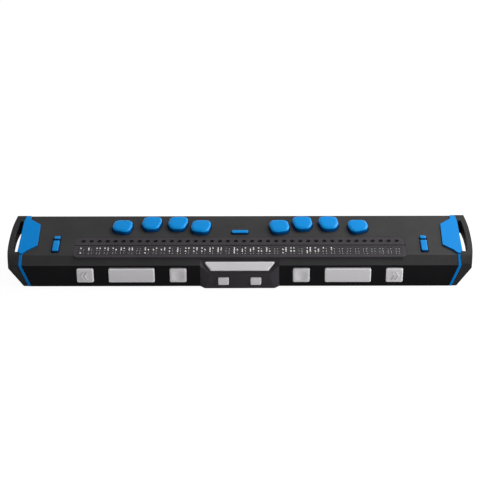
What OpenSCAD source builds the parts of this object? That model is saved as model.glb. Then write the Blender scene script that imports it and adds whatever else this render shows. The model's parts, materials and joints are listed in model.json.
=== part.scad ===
// Braille display: a line of piezo braille cells, typing keys behind it and reading keys along its front.
// Millimetres. X to the right, Y to the rear, Z up. The origin is under the middle of the whole part.

/* [Cells] */
// Number of braille cells in the line
cells = 40; // [40:1:44]
// Distance from cell to cell
cell_pitch = 6.4; // [6.2:0.05:6.8]
// Distance between the dots of a cell
dot_pitch = 2.4; // [2.3:0.05:2.5]
// Diameter of a braille pin
dot_d = 1.2; // [1:0.05:1.3]
// Height of a raised pin above its cell cap
dot_lift = 0.7; // [0.5:0.05:0.9]
// Depth of a lowered pin below its cell cap
dot_sink = 0.3; // [0.1:0.05:0.4]
// Thickness of a cell cap's top
cap_t = 2; // [1.6:0.1:2.4]
// Distance of the cell row from the front face
cell_in = 16; // [15.5:0.5:20]
// Distance from the cell row back to the cursor buttons
router_back = 15; // [14:0.25:15.5]
// Diameter of a cursor button
router_d = 3.2; // [2.6:0.1:3.6]
// Reach of the bezel in front of the cell row
bezel_front = 9.7; // [8:0.1:10]
// Reach of the bezel behind the cell row
bezel_back = 20.8; // [19.5:0.1:21.5]
// Reach of the bezel past the last cell
bezel_side = 3.2; // [3:0.1:4]

/* [Casing] */
// Room at each end of the casing, beside the cells
bay_w = 43.5; // [42:0.5:50]
// Height of the casing without its feet
case_h = 23; // [22.5:0.5:28]
// Thickness of the shells
wall = 2; // [1.8:0.1:2.2]
// Depth of the slanted strip in front of the deck
bevel_d = 9.1; // [8:0.1:10]
// Drop of the slanted strip
bevel_h = 4; // [3:0.1:4.5]
// Lean of each end, from deck to floor
end_lean = 6.9; // [5:0.1:8]
// Height of the joint line between the shells
part_h = 10.8; // [10.6:0.1:12]
// Deck behind the rear keys
rear_land = 6.5; // [6:0.1:9]
// Chamfer along the rear edge of the deck
rear_edge = 1; // [0.4:0.1:1.5]
// Height of the feet below the casing
foot_h = 1.2; // [0.8:0.1:2]
// Diameter of a foot
foot_d = 10; // [7:0.5:12]

/* [Ends] */
// Thickness of the coloured trim at each end
trim_t = 2.2; // [1.6:0.1:3]
// Height of the trim above the casing's skin
trim_proud = 0.3; // [0.2:0.1:0.6]
// Thickness of the coloured panel on the deck
panel_t = 1.2; // [0.8:0.1:1.6]
// Reach of the coloured panel over the deck
panel_in = 10.8; // [9:0.1:12]
// Reach of an end cap past the trim
cap_reach = 10.9; // [9.5:0.1:12]
// Reach of an end cap past the trim at its foot
cap_foot = 3.7; // [2.5:0.1:4]
// Height of the end cap above the deck
cap_proud = 0.6; // [0.4:0.1:1.2]
// Height of the upright band along the end cap
cap_drop = 2.5; // [2:0.1:4]
// Bow of an end cap over its length
cap_bulge = 2.8; // [1.5:0.1:3.5]
// Width of the strap bar
bar_t = 4.4; // [3.6:0.1:4.6]
// Length of the strap slot
slot_l = 48; // [36:1:50]
// Distance of the strap slot from the rear
slot_back = 10; // [9:0.5:12]

/* [Typing keys] */
// Width of a typing key
key_w = 16.4; // [14:0.1:17]
// Depth of a typing key
key_d = 20.2; // [17:0.1:21]
// Height of a typing key above the deck
key_proud = 3.4; // [2:0.1:4]
// Travel of a typing key
key_travel = 1.5; // [1:0.1:1.7]
// Distance of the innermost typing keys from the middle
key_first = 31.6; // [30:0.1:33]
// Step from the innermost typing key to the next one
key_step = 18.7; // [18.4:0.1:20]
// Growth of the step from key to key
key_spread = 2.4; // [1.5:0.1:3]
// Distance of the outer and inner typing keys behind the cell row
key_back = 33.7; // [33.4:0.1:36]
// Further back set of the two middle keys on each side
key_rise = 5.7; // [3:0.1:7]
// Width of the middle button
menu_w = 13.6; // [10:0.1:16]
// Depth of the middle button
menu_d = 4.7; // [4:0.1:6.5]
// Height of the small top buttons above the deck
small_proud = 1.5; // [1:0.1:2]
// Distance of the reading rockers from the casing's ends
nav_in = 25.5; // [25:0.1:28]
// Length of a reading rocker
nav_l = 16.8; // [15:0.1:17]
// Width of the reading rockers and mode buttons
nav_w = 5.5; // [4.5:0.1:6]
// Depth of a mode button
mode_d = 5.2; // [4.5:0.1:5.4]

/* [Front keys] */
// Width of a square front button
button_w = 13.2; // [12:0.1:14.5]
// Height of the front buttons
button_h = 12.4; // [11.5:0.1:14]
// Width of a rocker bar
rocker_w = 36.2; // [30:0.1:38]
// Height of the front buttons above the front face
front_proud = 1.4; // [1:0.1:2]
// Travel of a front button
front_travel = 1; // [0.6:0.1:1.1]
// Distance of the panning buttons from the casing's ends
pan_in = 50; // [49.5:0.1:52]
// Step from a panning button to its rocker bar
pan_step = 36.5; // [36:0.1:38]
// Step from a rocker bar to its selector button
select_step = 36.6; // [36:0.1:38]

/* [Nose] */
// Width of the nose where it leaves the casing
nose_w = 62; // [60:0.5:64]
// Width of the nose at the top of its front
nose_front_w = 46.2; // [44:0.2:50]
// Width of the nose at the foot of its front
nose_foot_w = 54.2; // [50:0.2:56]
// Reach of the nose in front of the casing
nose_out = 3.4; // [3:0.1:4]
// Reach of the sloping face back over the casing
slope_in = 5.3; // [5.2:0.1:5.4]
// Width of the space bar at its rear
space_w = 56.4; // [50:0.2:57]
// Depth of the space bar along the slope
space_d = 7.2; // [6.8:0.1:8]
// Narrowing of the space bar on each side
space_taper = 5.5; // [3:0.1:6]
// Height of the space bar above the slope
space_proud = 1.2; // [0.8:0.1:1.6]
// Width of a shift key
shift_w = 8.4; // [7:0.1:10]
// Height of a shift key
shift_h = 6.7; // [6:0.1:7.8]
// Distance of the shift keys from the middle
shift_x = 12.7; // [10:0.1:13]
// Height of the shift keys above the nose
shift_proud = 1; // [0.6:0.1:1.4]

/* [Hidden] */
$fn = 48;
// fits shared by both sides of every joint
seat = 0.1;
run = 0.05;
key_gap = 0.45;
button_gap = 0.3;
rocker_gap = 0.6;
lip = 0.3;
case_w = cells * cell_pitch + 2 * bay_w;
xe = case_w / 2;
case_d = cell_in + key_back + key_rise + key_d / 2 + rear_land;
total_d = case_d + nose_out + shift_proud;
yf = -total_d / 2 + nose_out + shift_proud;
yr = yf + case_d;
z0 = foot_h;
deck = z0 + case_h;
under = deck - wall;
floor_z = z0 + wall;
part_z = z0 + part_h;
face_h = case_h - bevel_h;
cell_y = yf + cell_in;
router_y = cell_y + router_back;
row_w = cells * cell_pitch;
// stack under the deck, from the key flanges down to the key board
flange_t = 1.2;
flange_z = under - seat;
tip = 0.6;
dome_h = key_travel + 0.8;
board_t = 1.2;
board_z = flange_z - flange_t - tip - run - dome_h;
router_flange = 0.8;
router_dome = 1.2;
router_board_z = flange_z - router_flange - lip - run - router_dome;
// braille cells, from the floor up
pad_h = 0.5;
back_z = floor_z + pad_h + board_t;
frame_t = 1.2;
frame_w = cell_pitch - 0.3;
cap_half = 1.5 * dot_pitch + 2;
skirt = 2.5;
skirt_z = deck - cap_t - skirt;
reed_w = 1.6;
reed_t = 0.4;
reed_low = back_z + frame_t + 1;
reed_top = board_z - board_t - 1.9;
reed_step = (reed_top - reed_low) / 3;
root_y = yr - 11;
root_z = (reed_low + reed_top) / 2;
root_d = 5.4;
tilt = asin((dot_lift + dot_sink) / (root_y - cell_y));
// front keys, from the front face inward
front_z = z0 + face_h / 2 + 0.9;
front_tip = wall + seat + flange_t + tip;
front_dome = front_travel + 0.55;
front_board = front_tip + run + front_dome;
pan_x = xe - pan_in;
rocker_x = pan_x - pan_step;
select_x = rocker_x - select_step;
pivot_in = wall + 1;
pivot_r = 1.7;
pin_r = 0.8;
rocker_foot = button_h / 2 - 2.35;
// reading rockers
nav_x = xe - nav_in;
nav_y = cell_y + 6.2;
mode_y = nav_y + nav_l / 2 + rocker_gap + 0.8 + button_gap + mode_d / 2;
nav_pin_r = 0.7;
nav_pivot = under - 0.7;
nav_barrel = 1.5;
// nose
slope_y = yf + slope_in;
slope_z = deck - bevel_h * (1 - slope_in / bevel_d);
nose_y = yf - nose_out;
nose_z = slope_z - slope_in - nose_out;
slope_l = (slope_in + nose_out) * sqrt(2);
space_y = slope_l - 1.9 - space_d;
shift_z = z0 + wall + flange_t + shift_h / 2 + 0.3;
// screws
boss_x = xe - 37;
boss_r = 2.6;
boss_rear = yr - wall - boss_r - 0.5;
boss_front = yf + 8;
// the middle bosses stand beside the second typing keys
boss_mid = key_first + key_step - key_w / 2 - key_gap - lip - boss_r - 0.9;
case_screw_l = 10.5;
end_screw_l = 11;
end_screw_z = z0 + 7.5;
end_screw_y = [yr - 14, yf + 14];
end_screw_x = xe - end_lean * (1 - 7.5 / face_h);
post_r = 1.8;
// electronics
main_x = xe - 22;
main_z = floor_z + 2;
main_w = 20;
main_front = yf + 18;
main_rear = yr - wall - 0.3;
usb_x = main_x + 5;
usb_w = 8.9;
usb_h = 3.2;
power_x = main_x - 5;
power_r = 2;
power_z = main_z + board_t + 3;
power_travel = 0.6;
// the battery lies between two ribs
battery_w = 20;
rib_front = yf + 18;
rib_rear = yr - 13;

// height of the slanted strip at a given depth
function bevel_z(y) = deck - bevel_h * (1 - (y - yf) / bevel_d);

// two ends of a span, counted from c
function about(c, a, b) = [c + a, c + b];
function unit(v) = v / norm(v);

// outlines run counterclockwise; grow moves every edge out by d
function grow(p, d) = [
    for (i = [0 : len(p) - 1])
        let (
            u = unit(p[(i + len(p) - 1) % len(p)] - p[i]),
            w = unit(p[(i + 1) % len(p)] - p[i])
        )
        p[i] - unit(u + w) * d / sin(acos(u * w) / 2)
];

// the same outline with an arc of n steps on every corner
function rounded(p, r, n = 5) = [
    for (i = [0 : len(p) - 1])
        let (
            u = unit(p[(i + len(p) - 1) % len(p)] - p[i]),
            w = unit(p[(i + 1) % len(p)] - p[i]),
            half = acos(u * w) / 2,
            c = p[i] + unit(u + w) * r / sin(half),
            from = p[i] + u * r / tan(half) - c,
            to = p[i] + w * r / tan(half) - c,
            start = atan2(from[1], from[0]),
            turn = (atan2(to[1], to[0]) - start + 540) % 360 - 180
        )
        for (k = [0 : n])
            c + r * [cos(start + turn * k / n), sin(start + turn * k / n)]
];

function box_points(w, h) = [[-w / 2, -h / 2], [w / 2, -h / 2], [w / 2, h / 2], [-w / 2, h / 2]];

// a typing key is wide at the rear and narrower at the front; the two middle keys have a straight
// front, the outer and inner ones a front that slants back to its outer side
function middle_key(k) = k == 1 || k == 2;
function key_points(d, k) = grow([
    middle_key(k) ? [-0.33 * key_w, -0.47 * key_d] : [-0.42 * key_w, (k == 0 ? -0.36 : -0.27) * key_d],
    middle_key(k) ? [0.3 * key_w, -0.5 * key_d] : [0.33 * key_w, -0.5 * key_d],
    [0.5 * key_w, 0.07 * key_d],
    [0.46 * key_w, 0.5 * key_d],
    [-0.4 * key_w, 0.5 * key_d],
    middle_key(k) ? [-0.5 * key_w, -0.08 * key_d] : [-0.5 * key_w, (k == 0 ? -0.03 : 0.02) * key_d],
], d);
function key_outline(d, k) = rounded(key_points(d, k), 3.6 + d);
function key_x(k) = key_first + key_step * k + key_spread * k * (k - 1) / 2;
function key_y(k) = cell_y + key_back + (middle_key(k) ? key_rise : 0);

function space_points(d) = grow([
    [-space_w / 2 + space_taper, space_y],
    [space_w / 2 - space_taper, space_y],
    [space_w / 2, space_y + space_d],
    [-space_w / 2, space_y + space_d],
], d);

// outline of the casing seen from its end, and seen from its front
function end_profile(d) = let (
    drop = d * norm([bevel_d, bevel_h]) / bevel_d,
    edge = d > 0 ? 0.01 : rear_edge
) [
    [yf + d, z0 + d],
    [yr - d, z0 + d],
    [yr - d, deck - d - edge],
    [yr - d - edge, deck - d],
    [yf + bevel_d + (drop - d) * bevel_d / bevel_h, deck - d],
    [yf + d, bevel_z(yf + d) - drop],
];
function lean_x(z) = xe - end_lean * (1 - min(1, (z - z0) / face_h));
function front_profile(d) = [
    [-lean_x(z0) + d, z0 - 5],
    [lean_x(z0) - d, z0 - 5],
    [lean_x(z0) - d, z0],
    [xe - d, z0 + face_h],
    [xe - d, deck + 9],
    [-xe + d, deck + 9],
    [-xe + d, z0 + face_h],
    [-lean_x(z0) + d, z0],
];

function bezel_points(d) = let (
    x = row_w / 2 + bezel_side,
    y1 = cell_y - bezel_front,
    y2 = cell_y + bezel_back
) grow([
    [-x + 2.6, y1], [x - 2.6, y1], [x, y1 + 2.6], [x, y2 - 3],
    [x - 3, y2], [-x + 3, y2], [-x, y2 - 3], [-x, y1 + 2.6],
], d);

// coloured panel on the right-hand end of the deck; its front sweeps into the band beside the casing
function panel_points(d) = grow([
    [xe + 0.1, yr - case_d * 0.852],
    [xe + 2.1, yr - case_d * 0.852],
    [xe + 4.1, yr - case_d * 0.79],
    [xe + 4.1, yr - case_d * 0.16],
    [xe + 3.3, yr - case_d * 0.06],
    [xe + 2.2, yr - 2],
    [xe - 1.1, yr - 2],
    [xe - 1.4, yr - case_d * 0.107],
    [xe - panel_in + 0.9, yr - case_d * 0.228],
    [xe - panel_in, yr - case_d * 0.672],
    [xe - 0.27 * panel_in, yr - case_d * 0.785],
], d);

// braille letters: ten shapes, the next ten add dot 3, the last add dots 3 and 6
first_ten = [
    [1], [1, 2], [1, 4], [1, 4, 5], [1, 5], [1, 2, 4], [1, 2, 4, 5], [1, 2, 5], [2, 4], [2, 4, 5],
];
function letter(n) =
    n < 10 ? first_ten[n]
    : n < 20 ? concat(first_ten[n - 10], [3])
    : n == 22 ? [2, 4, 5, 6]
    : concat(first_ten[n - (n < 22 ? 20 : 21)], [3, 6]);
// the line shows the alphabet in groups; the first letter of a group carries dot 7
groups = [7, 10, 5, 2, 4];
function before(g) = g == 0 ? 0 : groups[g - 1] + before(g - 1);
line_text = [
    for (g = [0 : len(groups) - 1])
        each concat(
            [
                for (p = [0 : groups[g] - 1])
                    concat(letter((before(g) + p) % 26), p == 0 ? [7] : [])
            ],
            [[]]
        )
];
function shown(c) = c < len(line_text) ? line_text[c] : [];
function is_up(c, dot) = len([for (d = shown(c)) if (d == dot) d]) > 0;
// column and row of dots 1 to 8
dot_place = [[0, 0], [0, 1], [0, 2], [1, 0], [1, 1], [1, 2], [0, 3], [1, 3]];
function cell_x(c) = (c - (cells - 1) / 2) * cell_pitch;
function dot_x(c, d) = cell_x(c) + (dot_place[d - 1][0] - 0.5) * dot_pitch;
function dot_y(d) = cell_y + (1.5 - dot_place[d - 1][1]) * dot_pitch;
function reed_z(d) = reed_top - dot_place[d - 1][1] * reed_step;

module along_x(l) rotate([90, 0, 90]) linear_extrude(l, center = true) children();
module along_y(l) rotate([90, 0, 0]) linear_extrude(l, center = true) children();
module slab(points, low, high) translate([0, 0, low]) linear_extrude(high - low) polygon(points);
module box(x, y, z) translate([x[0], y[0], z[0]]) cube([x[1] - x[0], y[1] - y[0], z[1] - z[0]]);
module rod(x, y, z, r, low, high) translate([x, y, low]) cylinder(r = r, h = high - low);
module both() {
    children();
    mirror([1, 0, 0]) children();
}
module handed(side) {
    if (side < 0) mirror([1, 0, 0]) children();
    else children();
}
// frames of the front face, of the nose's front and of the slope: local z points out of each
module on_front(x, z) translate([x, yf, z]) rotate([90, 0, 0]) children();
module on_nose(x, z) translate([x, nose_y, z]) rotate([90, 0, 0]) children();
module on_slope() translate([0, nose_y, nose_z]) rotate([45, 0, 0]) children();
// a silicone dome standing on z = 0
module dome(r, h) rotate_extrude() polygon([
    [0, 0], [r, 0], [r, 0.25 * h], [0.72 * r, 0.8 * h], [0.5 * r, h], [0, h],
]);
// a cap with rounded corners and a softened top edge
module soft_cap(points, r, low, high, edge) hull() {
    slab(rounded(points, r), low, high - edge);
    slab(rounded(grow(points, -0.35 * edge), r - 0.35 * edge), low, high - 0.4 * edge);
    slab(rounded(grow(points, -edge), max(0.3, r - edge)), low, high);
}
module screw(r, l, head_r, head_h) {
    cylinder(r = r, h = l);
    translate([0, 0, -head_h]) difference() {
        cylinder(r = head_r, h = head_h);
        for (a = [0, 90])
            rotate(a) translate([-0.6 * head_r, -0.15 * head_r, -0.1])
                cube([1.2 * head_r, 0.3 * head_r, 0.5 * head_h + 0.1]);
    }
}

module case_block(d) intersection() {
    along_x(2 * xe + 20) polygon(end_profile(d));
    along_y(2 * case_d + 40) polygon(front_profile(d));
}
module shell() difference() {
    case_block(0);
    case_block(wall);
}
module fascia_zone(d) box([-xe, xe], [yf - 1, yf + wall + d], [z0 - 1, z0 + face_h]);
module nose_zone(d) box(
    [-nose_w / 2 - d, nose_w / 2 + d], [nose_y - 2, slope_y + d], [z0 - 1, deck + 1]
);
module boss_places() {
    for (x = [-boss_x, -boss_mid, boss_mid, boss_x]) translate([x, boss_rear, 0]) children();
    for (x = [-boss_x, boss_x]) translate([x, boss_front, 0]) children();
}
key_post_x = [key_first * 0.475, (key_x(2) + key_x(3)) / 2];
module key_posts() {
    for (x = key_post_x)
        both() translate([x, cell_y + key_back + 2.3, 0]) children();
}
module nav_posts() both() {
    translate([nav_x - 6.4, nav_y + 8, 0]) children();
    translate([nav_x + 6.4, nav_y - 8, 0]) children();
}
front_post_x = [(pan_x + rocker_x) / 2 + 5.7, (rocker_x + select_x) / 2 - 5.9];
module front_posts() {
    for (x = front_post_x)
        both() on_front(x, front_z) children();
}
module main_posts() {
    for (x = [-1, 1], y = [main_front + 3, main_rear - 14])
        translate([main_x + x * (main_w / 2 - 2.5), y, 0]) children();
}
module foot_places() both() {
    for (y = [yf + 13, yr - 13]) translate([xe - 20, y, 0]) children();
}
module end_screw_places() {
    for (y = end_screw_y)
        both() translate([end_screw_x - 5.5, y, end_screw_z]) rotate([0, 90, 0]) children();
}

module bottom_case() color("#1d1d20") difference() {
    union() {
        difference() {
            shell();
            box([-xe - 1, xe + 1], [yf - 1, yr + 1], [part_z, deck + 1]);
            fascia_zone(0);
        }
        // pads under the cell backplane
        for (x = [-0.46 : 0.23 : 0.46], y = [cell_y + 8, root_y - 8])
            rod(x * row_w, y, 0, 2.5, floor_z - 0.5, floor_z + pad_h);
        main_posts() rod(0, 0, 0, post_r, floor_z - 0.5, main_z);
        // ribs that hold the battery
        for (y = [rib_front - 1, rib_rear])
            box(about(-main_x, 1 - battery_w / 2, battery_w / 2 - 1), [y, y + 1],
                [floor_z - 0.5, floor_z + 5]);
        intersection() {
            end_screw_places() cylinder(r = 2.4, h = 4);
            case_block(0.5);
        }
    }
    nose_zone(seat);
    foot_places() rod(0, 0, 0, foot_d / 2 + seat, z0 - 1, z0 + 0.8);
    boss_places() {
        rod(0, 0, 0, 1.2, z0 - 1, floor_z + 1);
        rod(0, 0, 0, 2.2, z0 - 1, z0 + 1);
    }
    main_posts() rod(0, 0, 0, 0.75, floor_z + 0.2, main_z + 1);
    end_screw_places() translate([0, 0, -1]) cylinder(r = 1.2, h = 12);
    translate([usb_x, yr - wall / 2, main_z + board_t + usb_h / 2])
        along_y(wall + 2) polygon(rounded(box_points(usb_w + 0.5, usb_h + 0.5), usb_h / 2));
    translate([power_x, yr + 1, power_z]) rotate([90, 0, 0]) cylinder(r = power_r + 0.2, h = wall + 2);
}

module top_cover() color("#3c3b3d") difference() {
    union() {
        difference() {
            shell();
            box([-xe - 1, xe + 1], [yf - 1, yr + 1], [z0 - 1, part_z]);
            fascia_zone(0);
        }
        boss_places() rod(0, 0, 0, boss_r, floor_z + run, under + 0.2);
        key_posts() rod(0, 0, 0, post_r, board_z, under + 0.2);
        nav_posts() rod(0, 0, 0, 1.6, board_z, under + 0.2);
        // ears for the pins of the reading rockers
        both() for (s = [-1, 1])
            translate([nav_x + s * (nav_w / 2 + 1.5) - 0.75, nav_y - 2, nav_pivot - 1.8])
                cube([1.5, 4, under - nav_pivot + 2]);
    }
    nose_zone(seat);
    slab(bezel_points(seat), under - 6, deck + 1);
    for (k = [0 : 3])
        both() translate([-key_x(k), key_y(k), 0]) slab(key_outline(key_gap, k), under - 1, deck + 1);
    slab_at(0, cell_y + 27.9, box_points(menu_w + 2 * button_gap, menu_d + 2 * button_gap), 1.3);
    both() {
        slab_at(nav_x, nav_y, box_points(nav_w + 2 * button_gap, nav_l + 2 * rocker_gap), 1.4);
        slab_at(nav_x, mode_y, box_points(nav_w + 2 * button_gap, mode_d + 2 * button_gap), 1.4);
        translate([nav_x, nav_y, nav_pivot]) rotate([0, 90, 0])
            cylinder(r = nav_pin_r + 0.02, h = nav_w + 7, center = true);
    }
    boss_places() rod(0, 0, 0, 1.05, floor_z - 1, floor_z + 11);
    key_posts() rod(0, 0, 0, 0.75, board_z - 1, under - 0.6);
    nav_posts() rod(0, 0, 0, 0.75, board_z - 1, under - 0.6);
}
module slab_at(x, y, points, r) translate([x, y, 0]) slab(rounded(points, r), under - 1, deck + 1);

module front_fascia() color("#121115") difference() {
    union() {
        intersection() {
            case_block(0);
            fascia_zone(0);
        }
        front_posts() translate([0, 0, -front_board]) cylinder(r = 1.5, h = front_board - wall + 0.5);
        // ears for the pins of the rocker bars
        both() on_front(rocker_x, front_z) for (s = [-1, 1])
            translate([s * (rocker_w / 2 + 1.3) - 0.8, -2, -pivot_in - 1.7]) cube([1.6, 4, 3]);
    }
    nose_zone(seat);
    both() {
        on_front(pan_x, front_z) front_hole(button_w, button_h, button_gap);
        on_front(select_x, front_z) front_hole(button_w, button_h, button_gap);
        on_front(rocker_x, front_z) {
            front_hole(rocker_w, button_h, rocker_gap);
            translate([0, 0, -pivot_in]) rotate([0, 90, 0])
                cylinder(r = pin_r + 0.02, h = rocker_w + 8, center = true);
        }
    }
    front_posts() translate([0, 0, -front_board - 1]) cylinder(r = 0.75, h = front_board - 0.2);
}
module front_hole(w, h, gap)
    slab(rounded(box_points(w + 2 * gap, h + 2 * gap), 1.2 + gap), -wall - 1, 2);

module nose_housing() color("#19181c") difference() {
    hull() nose_corners();
    // the sloping face, cut back between two slanting ends
    hull() for (s = [-1, 1]) {
        top = [s * (nose_w / 2 - seat), slope_y, slope_z];
        front = [s * nose_front_w / 2, nose_y, nose_z];
        edge = [s * (nose_w / 2 - seat), yf, z0 + face_h];
        middle = (top + front) / 2;
        for (p = [top, front, middle + 4 * (edge - middle)]) translate(p) cube(0.001, center = true);
    }
    along_x(nose_front_w - 1.6) polygon([
        [nose_y + wall, z0 + wall],
        [slope_y + 1, z0 + wall],
        [slope_y + 1, nose_z + slope_in + nose_out + 1 - wall * sqrt(2)],
        [nose_y + wall, nose_z + wall - wall * sqrt(2)],
    ]);
    on_slope() {
        slab(rounded(space_points(button_gap), 1.2), -wall - 1, 6);
        slab(space_points(1.2), -space_drop - 0.2, -wall);
        box([-space_board_w / 2 - seat, space_board_w / 2 + seat],
            [space_board_y[0] - seat, space_board_y[1] + seat],
            [-space_drop - 1 - seat, -space_drop]);
    }
    both() on_nose(shift_x, shift_z)
        slab(rounded(box_points(shift_w + 2 * button_gap, shift_h + 2 * button_gap), 1.1), -wall - 1, 3);
}
space_drop = front_tip + run + front_dome;
space_board_w = nose_front_w + 1.6;
space_board_y = [space_y + 1.4, space_y + space_d - 1.5];
module nose_corners() for (s = [-1, 1]) {
    x = nose_w / 2 - seat;
    for (p = [
        [x, slope_y, slope_z], [x, yf, z0 + face_h], [x, yf, z0], [x, slope_y, z0],
        [nose_front_w / 2, nose_y, nose_z], [nose_foot_w / 2, nose_y, z0],
    ]) translate([s * (p[0] - 0.0005), p[1] + 0.0005, p[2]]) cube(0.001, center = true);
}

// an end cap bows out in plan, leans in to its foot and is slotted for a strap
bow_r = pow(case_d / 2, 2) / (2 * cap_bulge);
cap_x = xe + trim_t + cap_reach;
module bow(d) translate([cap_x - bow_r, yf + case_d / 2, z0 - 5])
    cylinder(r = bow_r - d, h = case_h + 20, $fn = 96);
module end_cap(side) color("#1b1b1d") handed(side) difference() {
    intersection() {
        along_x(2 * cap_x + 20) polygon([
            [yf, z0 + 0.4], [yf + 0.4, z0], [yr - 0.4, z0], [yr, z0 + 0.4],
            [yr, deck + cap_proud - 1], [yr - 1, deck + cap_proud],
            [yf + bevel_d - 0.4, deck + cap_proud], [yf, z0 + face_h + cap_proud],
        ]);
        along_y(2 * case_d) polygon([
            [lean_x(z0) + trim_t, z0], [lean_x(z0) + trim_t + cap_foot, z0], [cap_x, deck - cap_drop],
            [cap_x, deck + cap_proud - 0.8], [cap_x - 0.8, deck + cap_proud],
            [xe + trim_t, deck + cap_proud], [xe + trim_t, z0 + face_h],
        ]);
        bow(0);
    }
    slab(panel_points(seat), deck, deck + 9);
    // strap slot
    intersection() {
        bow(bar_t);
        box([xe + 4.1, cap_x], [yr - slot_back - slot_l, yr - slot_back], [z0 - 5, deck + 9]);
    }
    translate([0, 0, end_screw_z]) for (y = end_screw_y)
        translate([xe - end_lean, y, 0]) rotate([0, 90, 0]) cylinder(r = 1.05, h = end_lean + 2.6);
}

module trim(side) color("#0f86d8") handed(side) difference() {
    union() {
        intersection() {
            along_x(2 * cap_x) polygon([
                [yf - trim_proud, z0 + 0.2], [yr - 0.2, z0 + 0.2], [yr - 0.2, deck - 1],
                [yr - 1.2, deck], [yf + bevel_d, deck + trim_proud],
                [yf + bevel_d - 0.1, deck + trim_proud], [yf - trim_proud, z0 + face_h + trim_proud],
            ]);
            along_y(2 * case_d) polygon([
                [lean_x(z0), z0], [lean_x(z0) + trim_t, z0], [xe + trim_t, z0 + face_h],
                [xe + trim_t, deck + 4], [xe, deck + 4], [xe, z0 + face_h],
            ]);
        }
        slab(rounded(panel_points(0), 0.9), deck, deck + panel_t);
    }
    for (y = end_screw_y)
        translate([xe - 20, y, end_screw_z]) rotate([0, 90, 0]) cylinder(r = 1.2, h = 40);
}

module cell_bezel() color("#4a484b") difference() {
    union() {
        slab(bezel_points(0), under, deck);
        // rail and tabs that lie under the deck
        box([-0.45 * row_w, 0.45 * row_w], about(cell_y + bezel_back, -1.5, 0.9), [under - 1, under]);
        both() box(about(row_w / 2 + bezel_side, -1.5, 1.5), about(cell_y, -4, 8), [under - 1, under]);
        both() rod(cell_x(cells - 1) + 4.4, router_y, 0, 1.2, router_board_z, under + 0.5);
    }
    box([-row_w / 2 - seat, row_w / 2 + seat], about(cell_y, -cap_half - seat, cap_half + seat),
        [under - 3, deck + 1]);
    // groove between the cells and the cursor buttons
    box([-row_w, row_w], about(cell_y, 7.9, 8.8), [deck - 0.5, deck + 1]);
    for (c = [0 : cells - 1])
        rod(cell_x(c), router_y, 0, router_d / 2 + 0.2, under - 2, deck + 1);
}

module rubber_feet() color("#2a2a2c") foot_places() rotate_extrude() polygon([
    [0, 0], [foot_d / 2 - 0.5, 0], [foot_d / 2, 0.5], [foot_d / 2, z0 + 0.8], [0, z0 + 0.8],
]);
module case_screws() color("#55565a") boss_places()
    translate([0, 0, z0 + 1]) screw(1, case_screw_l, 2, 0.9);
module end_cap_screws() color("#55565a") end_screw_places() screw(1, end_screw_l, 1.9, 1.1);
module board_screws() color("#a9abb0") {
    key_posts() translate([0, 0, board_z - board_t]) screw(0.7, 4, 1.4, 0.9);
    nav_posts() translate([0, 0, board_z - board_t]) screw(0.7, 4, 1.4, 0.9);
    front_posts() translate([0, 0, -front_board - 1]) screw(0.7, 4, 1.4, 0.9);
    main_posts() translate([0, 0, main_z + board_t]) mirror([0, 0, 1]) screw(0.7, 2.8, 1.4, 0.9);
}

module cell_caps() color("#454447") for (c = [0 : cells - 1]) difference() {
    translate([cell_x(c), cell_y, 0]) {
        box([-cell_pitch / 2 + 0.05, cell_pitch / 2 - 0.05], [-cap_half, cap_half], [deck - cap_t, deck]);
        for (s = [-1, 1])
            box([-cell_pitch / 2 + 0.4, cell_pitch / 2 - 0.4], about(s * (cap_half - 0.5), -0.5, 0.5),
                [skirt_z, deck - cap_t + 0.1]);
    }
    for (d = [1 : 8])
        rod(dot_x(c, d), dot_y(d), 0, dot_d / 2 + 0.2, deck - cap_t - 1, deck + 1);
}
module cell_carriers() color("#d8d6cc") for (c = [0 : cells - 1]) difference() {
    translate([cell_x(c), 0, 0]) {
        box([-frame_w / 2, frame_w / 2], [cell_y - cap_half, root_y + root_d / 2],
            [back_z, back_z + frame_t]);
        box([-frame_w / 2, frame_w / 2], about(cell_y - cap_half, 0, 1), [back_z, skirt_z]);
        box([-frame_w / 2, frame_w / 2], about(root_y, -root_d / 2, root_d / 2), [back_z, reed_top + 1]);
    }
    for (d = [1 : 8])
        translate([dot_x(c, d), root_y, reed_z(d)])
            cube([reed_w + 0.3, root_d + 1, reed_t + 0.4], center = true);
}
module reed(c, d, lift) translate([dot_x(c, d), root_y, root_z]) rotate([-lift, 0, 0])
    translate([-reed_w / 2, dot_y(d) - root_y - 0.7, reed_z(d) - root_z - reed_t / 2])
        cube([reed_w, root_y - dot_y(d) + 0.7 + root_d / 2, reed_t]);
module pin(c, d, lift) {
    foot = reed_z(d) + reed_t / 2 + (root_y - dot_y(d)) * sin(lift) + 0.15;
    top = deck + (lift > 0 ? dot_lift : -dot_sink);
    translate([dot_x(c, d), dot_y(d), foot]) cylinder(r = dot_d / 2, h = top - foot, $fn = 24);
}
module raised_reeds() color("#c9a24a") for (c = [0 : cells - 1], d = shown(c)) reed(c, d, tilt);
module lowered_reeds() color("#c9a24a")
    for (c = [0 : cells - 1], d = [1 : 8]) if (!is_up(c, d)) reed(c, d, 0);
module raised_dots() color("#f4f4f2") for (c = [0 : cells - 1], d = shown(c)) pin(c, d, tilt);
module lowered_dots() color("#e6e6e4")
    for (c = [0 : cells - 1], d = [1 : 8]) if (!is_up(c, d)) pin(c, d, 0);
module cell_backplane() color("#1f5a36")
    box([-row_w / 2 - 1, row_w / 2 + 1], [cell_y - cap_half - 1, root_y + root_d / 2 + 0.2],
        [back_z - board_t, back_z]);

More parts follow.
